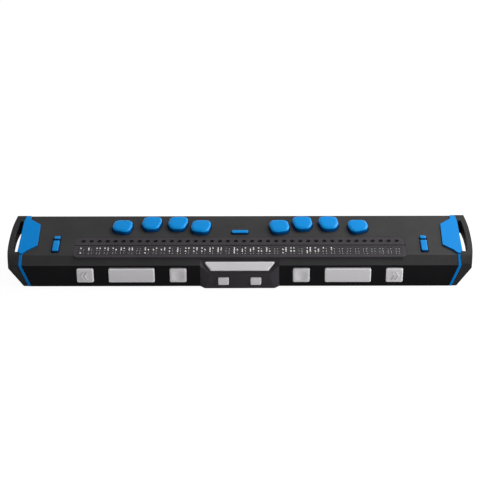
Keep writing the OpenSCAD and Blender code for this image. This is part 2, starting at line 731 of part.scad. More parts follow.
module router_buttons() color("#17171a") for (c = [0 : cells - 1]) {
    r = router_d / 2;
    translate([cell_x(c), router_y, 0]) rotate_extrude($fn = 32) polygon([
        [0, flange_z - router_flange - lip], [0.6 * r, flange_z - router_flange - lip],
        [0.6 * r, flange_z - router_flange], [r + 0.7, flange_z - router_flange], [r + 0.7, flange_z],
        [r, flange_z], [r, deck + 0.1], [r - 0.25, deck + 0.3], [0.7 * r, deck + 0.12],
        [0.35 * r, deck], [0, deck - 0.04],
    ]);
}
module router_domes() color("#b8b8b4")
    for (c = [0 : cells - 1]) translate([cell_x(c), router_y, router_board_z]) dome(2, router_dome);
module router_board() color("#1f5a36")
    box([-row_w / 2 - 2.6, row_w / 2 + 2.6], about(router_y, -3.8, 3.8),
        [router_board_z - 1, router_board_z]);

module typing_key(k, side) color("#1f8fe0")
    translate([side * key_x(k), key_y(k), 0]) handed(-side) {
        hull() {
            slab(key_outline(0, k), flange_z, deck + key_proud - 1.3);
            slab(key_outline(-0.35, k), flange_z, deck + key_proud - 0.75);
            slab(key_outline(-1, k), flange_z, deck + key_proud - 0.38);
            slab(key_outline(-2, k), flange_z, deck + key_proud - 0.14);
            slab(key_outline(-3, k), flange_z, deck + key_proud);
        }
        slab(key_outline(key_gap + lip, k), flange_z - flange_t, flange_z);
        rod(0, 0, 0, 2.2, flange_z - flange_t - tip, flange_z - flange_t + 0.1);
    }
module top_button(x, y, w, d) color("#1f8fe0") translate([x, y, 0]) {
    soft_cap(box_points(w, d), 1.6, flange_z, deck + small_proud, 0.7);
    slab(rounded(box_points(w + 2 * (button_gap + lip), d + 2 * (button_gap + lip)), 1.4),
        flange_z - flange_t, flange_z);
    rod(0, 0, 0, 1.5, flange_z - flange_t - tip, flange_z - flange_t + 0.1);
}
module menu_button() top_button(0, cell_y + 27.9, menu_w, menu_d);
module mode_button(side) top_button(side * nav_x, mode_y, nav_w, mode_d);
module nav_rocker(side) color("#1f8fe0") translate([side * nav_x, nav_y, 0]) difference() {
    union() {
        soft_cap(box_points(nav_w, nav_l), 1.6, under - 0.3, deck + small_proud, 0.8);
        translate([0, 0, nav_pivot]) rotate([0, 90, 0]) cylinder(r = nav_barrel, h = nav_w, center = true);
        for (s = [-1, 1])
            rod(0, s * (nav_l / 2 - 2.4), 0, 1.3, flange_z - flange_t - tip, under);
    }
    translate([0, 0, nav_pivot]) rotate([0, 90, 0])
        cylinder(r = nav_pin_r + run, h = nav_w + 1, center = true);
}
module nav_rocker_pins() color("#b9bcc2") both()
    translate([nav_x, nav_y, nav_pivot]) rotate([0, 90, 0])
        cylinder(r = nav_pin_r, h = nav_w + 4.2, center = true);
module nav_boards() color("#1f5a36") both() difference() {
    box(about(nav_x, -8.4, 8.4), [nav_y - 10.5, mode_y + 5], [board_z - board_t, board_z]);
    nav_posts() rod(0, 0, 0, 0.8, board_z - 3, board_z + 1);
}
key_board_x = key_x(3) + key_w / 2 + 3;
module key_board() color("#1f5a36") difference() {
    box([-key_board_x, key_board_x], [cell_y + bezel_back + 2.4, yr - 8.2], [board_z - board_t, board_z]);
    key_posts() rod(0, 0, 0, 0.8, board_z - 3, board_z + 1);
}
module top_key_domes() color("#d9d9d4") {
    for (k = [0 : 3]) both() translate([key_x(k), key_y(k), board_z]) dome(4, dome_h);
    translate([0, cell_y + 27.9, board_z]) dome(2.6, dome_h);
    both() {
        translate([nav_x, mode_y, board_z]) dome(2.4, dome_h);
        for (s = [-1, 1]) translate([nav_x, nav_y + s * (nav_l / 2 - 2.4), board_z]) dome(2.4, dome_h);
    }
}

// square front buttons: z = 0 is the front face
module square_button() {
    soft_cap(box_points(button_w, button_h), 1.2, -wall - seat, front_proud, 0.8);
    // its flange has no lip at the top, where the slanted strip comes down
    translate([0, -(button_gap + lip) / 2, 0])
        slab(rounded(box_points(button_w + 2 * (button_gap + lip), button_h + button_gap + lip), 1.6),
            -wall - seat - flange_t, -wall - seat);
    translate([0, 0, -front_tip]) cylinder(r = 2, h = tip + 0.1);
}
module panning_button(side) color("#b4b5b8") on_front(side * pan_x, front_z) handed(side) {
    square_button();
    // two raised chevrons that point outward
    for (x = [-3.4, 0.6])
        slab([[x, -3.8], [x + 1.3, -3.8], [x + 3.4, 0], [x + 1.3, 3.8], [x, 3.8], [x + 2.1, 0]],
            front_proud - 0.3, front_proud + 0.35);
}
module selector_button(side) color("#b4b5b8") on_front(side * select_x, front_z) difference() {
    square_button();
    // round finger dish
    translate([0, 0, front_proud + 24.4]) sphere(r = 25, $fn = 96);
}
module rocker_bar(side) color("#b4b5b8") on_front(side * rocker_x, front_z) difference() {
    union() {
        soft_cap(box_points(rocker_w, button_h), 1.2, -pivot_in + 0.4, front_proud, 0.8);
        translate([0, 0, -pivot_in]) rotate([0, 90, 0])
            cylinder(r = pivot_r, h = rocker_w - 2, center = true);
        for (x = [-1, 1], y = [-1, 1])
            translate([x * rocker_w / 4, y * rocker_foot, -front_tip]) cylinder(r = 1.3, h = 2);
    }
    translate([0, 0, -pivot_in]) rotate([0, 90, 0])
        cylinder(r = pin_r + run, h = rocker_w + 1, center = true);
}
module rocker_bar_pins() color("#b9bcc2") both() on_front(rocker_x, front_z)
    translate([0, 0, -pivot_in]) rotate([0, 90, 0]) cylinder(r = pin_r, h = rocker_w + 4, center = true);
module space_bar() color("#aeb0b3") on_slope() {
    soft_cap(space_points(0), 1, -wall - seat, space_proud, 0.9);
    // its flange has no lip in front, where the shift keys come back
    intersection() {
        slab(rounded(space_points(button_gap + lip), 1.3), -wall - seat - flange_t, -wall - seat);
        box([-space_w, space_w], [space_y, slope_l], [-front_tip, 0]);
    }
    for (s = [-1, 1])
        translate([s * space_w / 4, space_y + space_d / 2, -front_tip]) cylinder(r = 1.6, h = tip + 0.1);
}
module space_board() color("#1f5a36") on_slope()
    box([-space_board_w / 2, space_board_w / 2], space_board_y, [-space_drop - 1, -space_drop]);
module shift_key(side) color("#b4b5b8") on_nose(side * shift_x, shift_z) {
    soft_cap(box_points(shift_w, shift_h), 1, -wall - seat, shift_proud, 0.6);
    translate([0, -lip / 2, 0])
        slab(rounded(box_points(shift_w + 2 * (button_gap + lip), shift_h + 2 * button_gap + lip), 1.3),
            -wall - seat - flange_t, -wall - seat);
    translate([0, 0, -front_tip - nose_out])
        cylinder(r = 1.5, h = tip + nose_out + 0.1);
}
front_board_x = boss_x - 3.5;
module front_board() color("#1f5a36") difference() {
    box([-front_board_x, front_board_x], about(yf + front_board, 0, 1),
        [floor_z + 1, front_z + button_h / 2 + 0.1]);
    box([-nose_w / 2 - 1, nose_w / 2 + 1], about(yf + front_board, -1, 2), [nose_z - 2.3, deck]);
    front_posts() translate([0, 0, -front_board - 2]) cylinder(r = 0.8, h = 4);
}
module front_key_domes() color("#d9d9d4") {
    both() {
        on_front(pan_x, front_z) front_dome_at(0, 0);
        on_front(select_x, front_z) front_dome_at(0, 0);
        on_front(rocker_x, front_z) for (x = [-1, 1], y = [-1, 1])
            front_dome_at(x * rocker_w / 4, y * rocker_foot);
        on_front(shift_x, shift_z) front_dome_at(0, 0);
    }
    on_slope() for (s = [-1, 1])
        translate([s * space_w / 4, space_y + space_d / 2, -space_drop]) dome(2, front_dome);
}
module front_dome_at(x, y) translate([x, y, -front_board]) dome(2.2, front_dome);

module main_board() color("#1f5a36") difference() {
    box(about(main_x, -main_w / 2, main_w / 2), [main_front, main_rear], [main_z, main_z + board_t]);
    main_posts() rod(0, 0, 0, 0.8, main_z - 1, main_z + 3);
}
module battery_pack() color("#2f4f8f")
    box(about(-main_x, -battery_w / 2, battery_w / 2), [rib_front + 0.2, rib_rear - 0.2],
        [floor_z, floor_z + 8.4]);
module usb_c_socket() color("#c3c6cb") translate([usb_x, yr - 4.1, main_z + board_t + usb_h / 2]) {
    difference() {
        along_y(7.4) polygon(rounded(box_points(usb_w, usb_h), usb_h / 2 - 0.05));
        translate([0, 1, 0]) along_y(7.4)
            polygon(rounded(box_points(usb_w - 0.6, usb_h - 0.6), usb_h / 2 - 0.4));
    }
    box([-3.3, 3.3], [-3, 2.8], [-0.35, 0.35]);
}
module wireless_module() color("#9fa3a8")
    box(about(main_x, -6.5, 6.5), about(main_front, 8, 24), [main_z + board_t, main_z + board_t + 2.4]);
module power_button() color("#17171a") translate([power_x, yr - 0.2, power_z]) rotate([90, 0, 0]) {
    cylinder(r = power_r, h = wall);
    translate([0, 0, wall - 0.2 + seat]) cylinder(r = power_r + 0.6, h = 1);
    cylinder(r = 1, h = wall + 1.5);
}
module power_switch() color("#3a3a3c")
    box(about(power_x, -2.6, 2.6), about(yr - wall - 1.7 - power_travel - seat, -4, 0),
        [main_z + board_t, power_z + 1.6]);

bottom_case();
top_cover();
front_fascia();
nose_housing();
end_cap(-1);  // left_end_cap
end_cap(1);  // right_end_cap
trim(-1);  // left_trim
trim(1);  // right_trim
cell_bezel();
rubber_feet();
case_screws();
end_cap_screws();
board_screws();
cell_caps();
cell_carriers();
raised_reeds();
lowered_reeds();
raised_dots();
lowered_dots();
cell_backplane();
router_buttons();
router_domes();
router_board();
typing_key(3, -1);  // dot_7_key
typing_key(2, -1);  // dot_3_key
typing_key(1, -1);  // dot_2_key
typing_key(0, -1);  // dot_1_key
typing_key(0, 1);  // dot_4_key
typing_key(1, 1);  // dot_5_key
typing_key(2, 1);  // dot_6_key
typing_key(3, 1);  // dot_8_key
menu_button();
key_board();
top_key_domes();
nav_rocker(-1);  // left_nav_rocker
nav_rocker(1);  // right_nav_rocker
nav_rocker_pins();
mode_button(-1);  // left_mode_button
mode_button(1);  // right_mode_button
nav_boards();
panning_button(-1);  // left_panning_button
panning_button(1);  // right_panning_button
rocker_bar(-1);  // left_rocker_bar
rocker_bar(1);  // right_rocker_bar
rocker_bar_pins();
selector_button(-1);  // left_selector_button
selector_button(1);  // right_selector_button
space_bar();
space_board();
shift_key(-1);  // left_shift_key
shift_key(1);  // right_shift_key
front_board();
front_key_domes();
main_board();
battery_pack();
usb_c_socket();
wireless_module();
power_button();
power_switch();
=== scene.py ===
import json
from math import cos, pi, radians, sin, tan

import bmesh
import bpy
from mathutils import Matrix, Vector

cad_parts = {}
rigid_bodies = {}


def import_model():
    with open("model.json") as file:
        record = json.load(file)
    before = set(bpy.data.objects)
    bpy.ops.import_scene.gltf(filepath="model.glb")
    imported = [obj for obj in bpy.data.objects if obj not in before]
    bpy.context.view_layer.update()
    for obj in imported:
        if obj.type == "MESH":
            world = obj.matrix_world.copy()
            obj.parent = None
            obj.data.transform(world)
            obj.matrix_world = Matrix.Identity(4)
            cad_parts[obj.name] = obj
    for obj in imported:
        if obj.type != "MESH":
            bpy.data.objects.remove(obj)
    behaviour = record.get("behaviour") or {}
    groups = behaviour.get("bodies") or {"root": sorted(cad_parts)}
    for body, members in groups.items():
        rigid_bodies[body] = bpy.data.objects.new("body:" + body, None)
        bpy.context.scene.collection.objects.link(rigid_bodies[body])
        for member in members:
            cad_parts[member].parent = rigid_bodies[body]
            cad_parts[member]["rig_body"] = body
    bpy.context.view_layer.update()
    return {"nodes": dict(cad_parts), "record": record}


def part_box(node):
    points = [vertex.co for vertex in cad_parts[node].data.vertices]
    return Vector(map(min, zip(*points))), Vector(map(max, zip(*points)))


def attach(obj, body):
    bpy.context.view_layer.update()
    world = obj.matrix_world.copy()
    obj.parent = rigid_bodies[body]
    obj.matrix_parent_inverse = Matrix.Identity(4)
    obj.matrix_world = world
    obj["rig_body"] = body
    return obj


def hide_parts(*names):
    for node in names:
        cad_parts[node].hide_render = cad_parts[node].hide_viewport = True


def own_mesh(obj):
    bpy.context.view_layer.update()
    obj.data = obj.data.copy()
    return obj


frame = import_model()
nodes = frame["nodes"]
scene = bpy.context.scene
mm = 0.001

# levels of the casing, in mm, as the solids have them
level = {"deck": 24.2, "skin": 2.0, "seat": 0.1, "front": -33.8, "rear": 38.2, "floor": 1.2, "joint": 12.0}
under = -level["skin"] - level["seat"]  # top of a key's skirt, counted from the face that the key stands in


# view from the front and above, with a long lens
viewLook = {
    "target": (0.0, -0.0178, 0.0242), "tilt": 31.0, "turn": 0.8, "roll": -0.51,
    "distance": 1.4, "lens": 132.9, "sensor": 36.0, "clip": 0.01, "offset": (0.4, 10.66), "pixels": 480,
}


def placeCamera(look):
    tilt, turn = radians(look["tilt"]), radians(look["turn"])
    back = Vector((sin(turn) * cos(tilt), -cos(turn) * cos(tilt), sin(tilt)))
    side = Vector((cos(turn), sin(turn), 0))
    up = back.cross(side)
    target = Vector(look["target"])
    eye = target + back * look["distance"]
    pixel = look["distance"] * look["sensor"] / look["lens"] / look["pixels"]  # one pixel at the target
    aim = target + (side * look["offset"][0] + up * look["offset"][1]) * pixel
    data = bpy.data.cameras.new("viewCamera")
    data.lens = look["lens"]
    data.sensor_width = look["sensor"]
    data.clip_start = look["clip"]
    camera = bpy.data.objects.new("viewCamera", data)
    camera.location = eye
    camera.rotation_euler = (aim - eye).to_track_quat("-Z", "Y").to_euler()
    camera.rotation_euler.rotate_axis("Z", radians(look["roll"]))
    scene.collection.objects.link(camera)
    scene.camera = camera


placeCamera(viewLook)
scene.view_settings.view_transform = "Standard"
print("camera set")


# studio: a white ground, a soft box at the rear right and three lamps
studioLook = {
    "ambient": 0.22, "groundColour": 0.8, "groundGlow": 0.95, "groundShade": 0.12, "groundRadius": 5.0,
    "groundSides": 96, "aim": (0, 0, 0.02),
    "lamps": [
        ("softBox", (0.55, 0.6, 0.55), 0.45, 9.0),
        ("topLamp", (0.05, 0.1, 1.2), 0.8, 1.8),
        ("frontLamp", (0.62, -0.88, 0.24), 0.5, 2.9),
        ("sideLamp", (1.05, -0.2, 0.28), 0.4, 5.5),
    ],
}


def seenAsWhite(tree):  # camera, mirror and glass rays meet the white ground
    path = tree.nodes.new("ShaderNodeLightPath")
    first = tree.nodes.new("ShaderNodeMath")
    first.operation = "MAXIMUM"
    second = tree.nodes.new("ShaderNodeMath")
    second.operation = "MAXIMUM"
    tree.links.new(path.outputs["Is Camera Ray"], first.inputs[0])
    tree.links.new(path.outputs["Is Glossy Ray"], first.inputs[1])
    tree.links.new(first.outputs[0], second.inputs[0])
    tree.links.new(path.outputs["Is Transmission Ray"], second.inputs[1])
    return second.outputs[0]


def buildStudio(look):
    world = bpy.data.worlds.new("studio")
    scene.world = world
    world.use_nodes = True
    tree = world.node_tree
    ambient = tree.nodes["Background"]
    ambient.inputs["Color"].default_value = (1, 1, 1, 1)
    ambient.inputs["Strength"].default_value = look["ambient"]
    white = tree.nodes.new("ShaderNodeBackground")
    white.inputs["Color"].default_value = (1, 1, 1, 1)
    white.inputs["Strength"].default_value = 1
    mix = tree.nodes.new("ShaderNodeMixShader")
    tree.links.new(seenAsWhite(tree), mix.inputs[0])
    tree.links.new(ambient.outputs[0], mix.inputs[1])
    tree.links.new(white.outputs[0], mix.inputs[2])
    tree.links.new(mix.outputs[0], tree.nodes["World Output"].inputs["Surface"])

    bm = bmesh.new()
    bmesh.ops.create_circle(bm, cap_ends=True, segments=look["groundSides"], radius=look["groundRadius"])
    mesh = bpy.data.meshes.new("ground")
    bm.to_mesh(mesh)
    bm.free()
    ground = bpy.data.objects.new("ground", mesh)
    scene.collection.objects.link(ground)
    material = bpy.data.materials.new("groundPaper")
    material.use_nodes = True
    tree = material.node_tree
    tree.nodes.remove(tree.nodes["Principled BSDF"])
    paper = tree.nodes.new("ShaderNodeBsdfDiffuse")
    paper.inputs["Color"].default_value = (look["groundColour"],) * 3 + (1,)
    shade = tree.nodes.new("ShaderNodeBsdfDiffuse")
    shade.inputs["Color"].default_value = (look["groundShade"],) * 3 + (1,)
    glow = tree.nodes.new("ShaderNodeEmission")
    glow.inputs["Strength"].default_value = look["groundGlow"]
    seen = tree.nodes.new("ShaderNodeAddShader")
    mix = tree.nodes.new("ShaderNodeMixShader")
    tree.links.new(shade.outputs[0], seen.inputs[0])
    tree.links.new(glow.outputs[0], seen.inputs[1])
    tree.links.new(seenAsWhite(tree), mix.inputs[0])
    tree.links.new(paper.outputs[0], mix.inputs[1])
    tree.links.new(seen.outputs[0], mix.inputs[2])
    tree.links.new(mix.outputs[0], tree.nodes["Material Output"].inputs["Surface"])
    mesh.materials.append(material)

    for name, place, size, power in look["lamps"]:
        data = bpy.data.lights.new(name, "AREA")
        data.size = size
        data.energy = power
        lamp = bpy.data.objects.new(name, data)
        lamp.location = place
        lamp.rotation_euler = (Vector(look["aim"]) - Vector(place)).to_track_quat("-Z", "Y").to_euler()
        scene.collection.objects.link(lamp)


buildStudio(studioLook)
print("studio lit")


# finishes, with the values that they share: the part of a noise that is used, its size and detail,
# depths in mm and the reach of soft light in m
surface = {
    "swing": (0.3, 0.7), "sway": 0.06, "drift": 45, "driftDetail": 3, "grainDetail": 2, "streakDetail": 3,
    "cloud": 300, "cloudDetail": 3, "mouldDepth": 0.06, "metalDepth": 0.03, "boardDepth": 0.04,
    "trackRelief": 0.3, "trackGap": 0.06, "softReach": 0.001,
}


def linear(rgb):  # screen colour, 0 to 255, to the shader's scale
    return tuple(c / 255 / 12.92 if c < 10.3 else ((c / 255 + 0.055) / 1.055) ** 2.4 for c in rgb) + (1.0,)


def startFinish(name):
    material = bpy.data.materials.new(name)
    material.use_nodes = True
    tree = material.node_tree
    place = tree.nodes.new("ShaderNodeTexCoord").outputs["Object"]
    return material, tree, tree.nodes["Principled BSDF"], place


def noise(tree, place, scale, detail, stretch=None):
    if stretch:
        turn = tree.nodes.new("ShaderNodeMapping")
        turn.inputs["Scale"].default_value = stretch
        tree.links.new(place, turn.inputs["Vector"])
        place = turn.outputs["Vector"]
    node = tree.nodes.new("ShaderNodeTexNoise")
    node.inputs["Scale"].default_value = scale
    node.inputs["Detail"].default_value = detail
    tree.links.new(place, node.inputs["Vector"])
    return node.outputs["Fac"]


def ramp(tree, factor, deep, pale):
    node = tree.nodes.new("ShaderNodeValToRGB")
    for stop, at, colour in zip(node.color_ramp.elements, surface["swing"], (deep, pale)):
        stop.position = at
        stop.color = linear(colour)
    tree.links.new(factor, node.inputs["Fac"])
    return node.outputs["Color"]


def span(tree, factor, low, high):
    node = tree.nodes.new("ShaderNodeMapRange")
    node.inputs["From Min"].default_value, node.inputs["From Max"].default_value = surface["swing"]
    node.inputs["To Min"].default_value = low
    node.inputs["To Max"].default_value = high
    tree.links.new(factor, node.inputs["Value"])
    return node.outputs["Result"]


def bump(tree, shader, height, strength, distance):
    node = tree.nodes.new("ShaderNodeBump")
    node.inputs["Strength"].default_value = strength
    node.inputs["Distance"].default_value = distance * mm
    tree.links.new(height, node.inputs["Height"])
    tree.links.new(node.outputs["Normal"], shader.inputs["Normal"])


def paintedLightRamp(tree, place, drift, stops, axis):  # painted shade and highlight: colours by height, or along another axis, with a slight sway
    parts = tree.nodes.new("ShaderNodeSeparateXYZ")
    tree.links.new(place, parts.inputs[0])
    low, high = stops[0][0], stops[-1][0]
    rise = tree.nodes.new("ShaderNodeMapRange")
    rise.inputs["From Min"].default_value = low * mm
    rise.inputs["From Max"].default_value = high * mm
    tree.links.new(parts.outputs[axis], rise.inputs["Value"])
    sway = tree.nodes.new("ShaderNodeMath")
    sway.operation = "MULTIPLY_ADD"
    sway.inputs[1].default_value = surface["sway"]
    tree.links.new(drift, sway.inputs[0])
    tree.links.new(rise.outputs["Result"], sway.inputs[2])
    node = tree.nodes.new("ShaderNodeValToRGB")
    band = node.color_ramp.elements
    for k, (at, colour) in enumerate(stops):
        stop = band[k] if k < 2 else band.new(1)
        stop.position = (at - low) / (high - low)
        stop.color = linear(colour)
    tree.links.new(sway.outputs[0], node.inputs["Fac"])
    return node.outputs["Color"]


# moulded plastic or rubber: slow drift of the pigment, fine grain from the mould, or painted shade and highlight set
# by height stops
def mouldedFinish(name, look):
    material, tree, shader, place = startFinish(name)
    drift = noise(tree, place, look.get("drift", surface["drift"]), surface["driftDetail"])
    # the stops under rise paint shade on lower walls and highlights on rounded rims
    if "rise" in look:
        colour = paintedLightRamp(tree, place, drift, look["rise"], look.get("along", "Z"))
    else:
        colour = ramp(tree, drift, look["deep"], look["pale"])
    tree.links.new(colour, shader.inputs["Base Color"])
    grain = noise(tree, place, look["grain"], surface["grainDetail"])
    tree.links.new(span(tree, grain, *look["rough"]), shader.inputs["Roughness"])
    bump(tree, shader, grain, look["depth"], surface["mouldDepth"])
    shader.inputs["Specular IOR Level"].default_value = look["gloss"]
    shader.inputs["Subsurface Weight"].default_value = look.get("soft", 0)
    shader.inputs["Subsurface Scale"].default_value = surface["softReach"]
    return material


# metal: streaks along one direction
def metalFinish(name, look):
    material, tree, shader, place = startFinish(name)
    streaks = noise(tree, place, look["grain"], surface["streakDetail"], look["stretch"])
    tree.links.new(ramp(tree, streaks, look["deep"], look["pale"]), shader.inputs["Base Color"])
    tree.links.new(span(tree, streaks, *look["rough"]), shader.inputs["Roughness"])
    bump(tree, shader, streaks, look["depth"], surface["metalDepth"])
    shader.inputs["Metallic"].default_value = 1
    return material


# circuit board: tracks under a green or black mask
def boardFinish(name, look):
    material, tree, shader, place = startFinish(name)
    tracks = tree.nodes.new("ShaderNodeTexBrick")
    tracks.inputs["Scale"].default_value = look["tracks"]
    tracks.inputs["Mortar Size"].default_value = surface["trackGap"]
    tracks.inputs["Color1"].default_value = linear(look["deep"])
    tracks.inputs["Color2"].default_value = linear(look["mask"])
    tracks.inputs["Mortar"].default_value = linear(look["pale"])
    tree.links.new(place, tracks.inputs["Vector"])
    tree.links.new(tracks.outputs["Color"], shader.inputs["Base Color"])
    cloud = noise(tree, place, surface["cloud"], surface["cloudDetail"])
    tree.links.new(span(tree, cloud, *look["rough"]), shader.inputs["Roughness"])
    bump(tree, shader, tracks.outputs["Fac"], surface["trackRelief"], surface["boardDepth"])
    return material


finishLook = {
    "deck_plastic": {"deep": (47, 46, 47), "pale": (53, 52, 53), "grain": 2600, "depth": 0.35,
                     "rough": (0.5, 0.6), "gloss": 0.06},
    "case_plastic": {"deep": (38, 37, 38), "pale": (44, 43, 44), "grain": 2200, "depth": 0.45,
                     "rough": (0.55, 0.68), "gloss": 0.06},
    "front_plastic": {"deep": (15, 14, 16), "pale": (20, 19, 21), "grain": 3200, "depth": 0.2,
                      "rough": (0.38, 0.48), "gloss": 0.04},
    "nose_plastic": {"deep": (52, 50, 54), "pale": (58, 55, 60), "grain": 2600, "depth": 0.3,
                     "rough": (0.42, 0.52), "gloss": 0.05},
    "bezel_plastic": {"deep": (53, 50, 54), "pale": (59, 56, 60), "grain": 2600, "depth": 0.35,
                      "rough": (0.48, 0.58), "gloss": 0.06},
    # blue_trim: painted shade on the raised panel's wall (navy stops 24.62 to 25.0 mm) and a painted highlight along
    # its top rim at 25.3 mm; plain blue below 24.45 mm for the bevel and front band
    "blue_trim": {"rise": [(24.45, (0, 120, 198)), (24.62, (0, 58, 106)), (25.0, (0, 66, 120)), (25.3, (8, 140, 218)),
                           (25.45, (0, 131, 211))],
                  "grain": 2400, "depth": 0.25, "rough": (0.42, 0.52), "gloss": 0.04},
    # blue_keys: painted shade on the lower walls (navy up to 26.62 mm) and a painted highlight on the pillow rim at
    # 27.22 mm
    "blue_keys": {"rise": [(24.8, (0, 60, 110)), (26.3, (0, 78, 138)), (26.62, (0, 92, 158)), (26.9, (0, 122, 198)),
                           (27.22, (24, 156, 230)), (27.48, (0, 132, 208)), (27.72, (0, 138, 216))],
                  "grain": 2800, "depth": 0.2, "rough": (0.3, 0.4), "gloss": 0.05},
    # blue_small: painted shade on the lower walls (navy up to 25.48 mm) and a painted highlight on the rim at 25.69
    # mm
    "blue_small": {"rise": [(24.2, (0, 40, 78)), (25.2, (0, 54, 100)), (25.48, (0, 86, 150)), (25.61, (0, 126, 204)),
                            (25.69, (22, 150, 226)), (25.75, (0, 134, 210))],
                   "grain": 2800, "depth": 0.2, "rough": (0.3, 0.4), "gloss": 0.05},
    # grey_keys: a painted highlight on the rounded edges behind the face, paler than the face from -35.15 mm along Y
    "grey_keys": {"rise": [(-35.3, (209, 206, 209)), (-35.15, (209, 206, 209)), (-35.08, (234, 232, 234)),
                           (-34.9, (244, 242, 244)), (-34.3, (226, 224, 226))],
                  "along": "Y", "grain": 2800, "depth": 0.22, "rough": (0.26, 0.36), "gloss": 0.5},
    "grey_dish": {"deep": (205, 202, 205), "pale": (213, 210, 213), "grain": 2800, "depth": 0.22,
                  "rough": (0.26, 0.36), "gloss": 0.5},
    # a paler copy of the grey keys' face, painting the extra light that the space bar's slope catches
    "grey_bar_painted_light": {"deep": (222, 219, 222), "pale": (230, 227, 230), "grain": 2800, "depth": 0.22,
                 "rough": (0.26, 0.36), "gloss": 0.5},
    "pin_white": {"deep": (240, 239, 237), "pale": (248, 247, 245), "grain": 3500, "depth": 0.1,
                  "rough": (0.22, 0.32), "gloss": 0.3, "soft": 0.05},
    "button_black": {"deep": (2, 2, 3), "pale": (5, 5, 6), "grain": 3000, "depth": 0.2,
                     "rough": (0.34, 0.46), "gloss": 0.03},
    "foot_rubber": {"deep": (28, 28, 28), "pale": (38, 38, 38), "grain": 1500, "depth": 0.6,
                    "rough": (0.75, 0.9), "gloss": 0.1},
    "dome_silicone": {"deep": (206, 206, 201), "pale": (222, 222, 218), "grain": 1800, "depth": 0.2,
                      "rough": (0.4, 0.55), "gloss": 0.3, "soft": 0.25},
    "carrier_plastic": {"deep": (206, 203, 192), "pale": (221, 218, 208), "grain": 2400, "depth": 0.25,
                        "rough": (0.42, 0.55), "gloss": 0.3},
    "battery_wrap": {"deep": (38, 66, 124), "pale": (52, 84, 148), "grain": 260, "depth": 0.6,
                     "rough": (0.22, 0.38), "gloss": 0.5, "drift": 120},
}
metalLook = {
    "screw_steel": {"deep": (150, 152, 157), "pale": (192, 194, 199), "grain": 900, "depth": 0.2,
                    "rough": (0.28, 0.42), "stretch": (1, 1, 6)},
    "pin_dark": {"deep": (34, 34, 36), "pale": (50, 50, 53), "grain": 900, "depth": 0.2,
                 "rough": (0.5, 0.65), "stretch": (6, 1, 1)},
    "reed_brass": {"deep": (176, 138, 62), "pale": (212, 174, 94), "grain": 700, "depth": 0.2,
                   "rough": (0.3, 0.45), "stretch": (8, 1, 8)},
    "tin_can": {"deep": (172, 174, 178), "pale": (206, 208, 212), "grain": 600, "depth": 0.15,
                "rough": (0.26, 0.4), "stretch": (1, 6, 1)},
}
boardLook = {
    "board_green": {"deep": (22, 74, 44), "mask": (27, 86, 51), "pale": (58, 120, 74), "tracks": 160,
                    "rough": (0.3, 0.42)},
    "board_black": {"deep": (9, 10, 10), "mask": (13, 14, 14), "pale": (27, 29, 28), "tracks": 160,
                    "rough": (0.4, 0.52)},
}

finish = {name: mouldedFinish(name, look) for name, look in finishLook.items()}
finish.update({name: metalFinish(name, look) for name, look in metalLook.items()})
finish.update({name: boardFinish(name, look) for name, look in boardLook.items()})

nodeSlot = {part["node"]: part["material_slot"] for part in frame["record"]["subparts"]}
nodeFinish = dict(nodeSlot, nav_rocker_pins="pin_dark", rocker_bar_pins="pin_dark")
for node in ("front_board", "space_board", "nav_boards", "key_board", "router_board"):
    nodeFinish[node] = "board_black"  # dark boards behind the gaps around the keys
for node, name in nodeFinish.items():  # for the nodes that keep their own mesh
    nodes[node].data.materials.clear()
    nodes[node].data.materials.append(finish[name])
print("finishes:", len(finish))


# pieces
def addPiece(name, bm, node, finishName=None, smooth=38, even=False):
    mesh = bpy.data.meshes.new(name)
    bm.to_mesh(mesh)
    bm.free()
    mesh.shade_smooth()
    mesh.set_sharp_from_angle(angle=radians(smooth))
    mesh.materials.append(finish[finishName or nodeFinish[node]])
    piece = bpy.data.objects.new(name, mesh)
    scene.collection.objects.link(piece)
    if even:  # flat faces stay flat beside their rounded edges
        weigh = piece.modifiers.new("evenNormals", "WEIGHTED_NORMAL")
        weigh.keep_sharp = True
    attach(piece, nodes[node]["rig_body"])
    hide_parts(node)
    return piece


# steps round a corner, the share of a corner from which an edge is wide,
# and how near, in m, points are before they become one, in meshes read and in meshes made
meshLook = {"cornerSteps": 6, "wide": 0.8, "weldRead": 2e-6, "weldMade": 1e-7}


def islandVerts(bm, before):
    return [v for v in bm.verts if v not in before]


def spanOf(corners):  # middle and sides of the box around an outline
    low, high = (Vector([pick(c[i] for c in corners) for i in (0, 1)] + [0]) for pick in (min, max))
    return (low + high) / 2, (high - low)[:2]


def roundOff(bm, geom, offset, steps, affect="EDGES"):
    bmesh.ops.bevel(bm, geom=geom, offset=offset * mm, offset_type="OFFSET", segments=steps, profile=0.5,
                    affect=affect, clamp_overlap=False, material=-1)


def drawUp(bm, faces, rise):  # gives the new points and the new faces
    drawn = bmesh.ops.extrude_face_region(bm, geom=faces)["geom"]
    points = [g for g in drawn if isinstance(g, bmesh.types.BMVert)]
    bmesh.ops.translate(bm, verts=points, vec=(0, 0, rise * mm))
    return points, [g for g in drawn if isinstance(g, bmesh.types.BMFace)]


